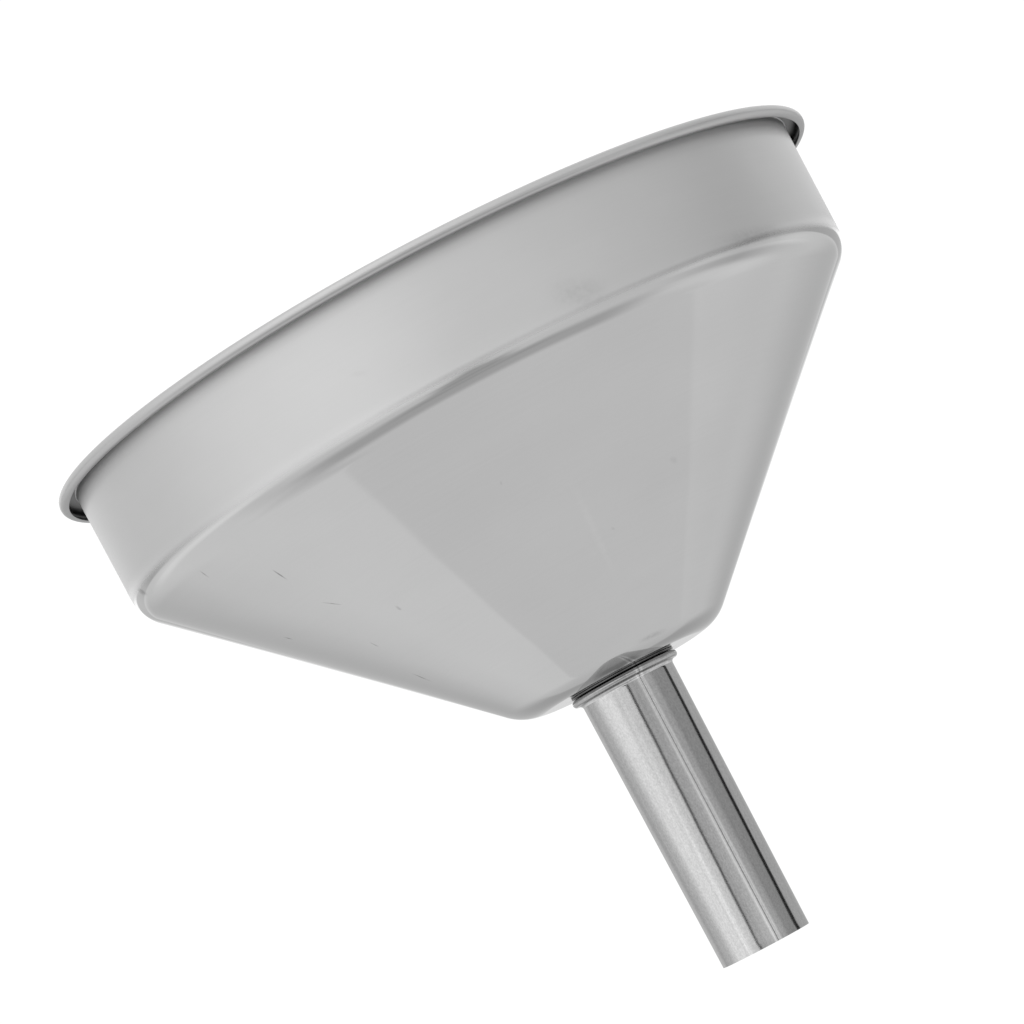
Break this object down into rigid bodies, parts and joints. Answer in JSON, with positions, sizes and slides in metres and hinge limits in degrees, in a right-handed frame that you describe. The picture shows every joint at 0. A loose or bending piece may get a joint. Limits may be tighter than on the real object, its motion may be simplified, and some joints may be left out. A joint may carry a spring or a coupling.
{
  "type": "canning funnel",
  "caption": "Wide stainless steel funnel with a rolled rim, a straight upper wall, a conical bowl with a small flat floor, and a long narrow spout with a beaded collar.",
  "frame": {"origin": "on the funnel's axis, level with the underside of the bowl's floor, where the mouth of a bottle or jug holds the funnel", "axes": "+Z along the funnel's axis, from the spout's tip up to the rim; the spout's weld seam is at the front, the -Y side, 16.5 degrees towards +X"},
  "size_m": [0.25, 0.25, 0.2117],
  "materials": {
    "bowl_steel": "pressed stainless sheet, semi-polished, with faint turned grain and a few fine scuffs",
    "spout_steel": "rolled stainless sheet, polished, with fine grain running along the tube",
    "weld_steel": "weld metal ground almost flush, a little brighter than the tube"
  },
  "bodies": {
    "root": {"bowl": "bowl_steel", "spout": "spout_steel", "spout_seam_weld": "weld_steel"}
  },
  "joints": []
}
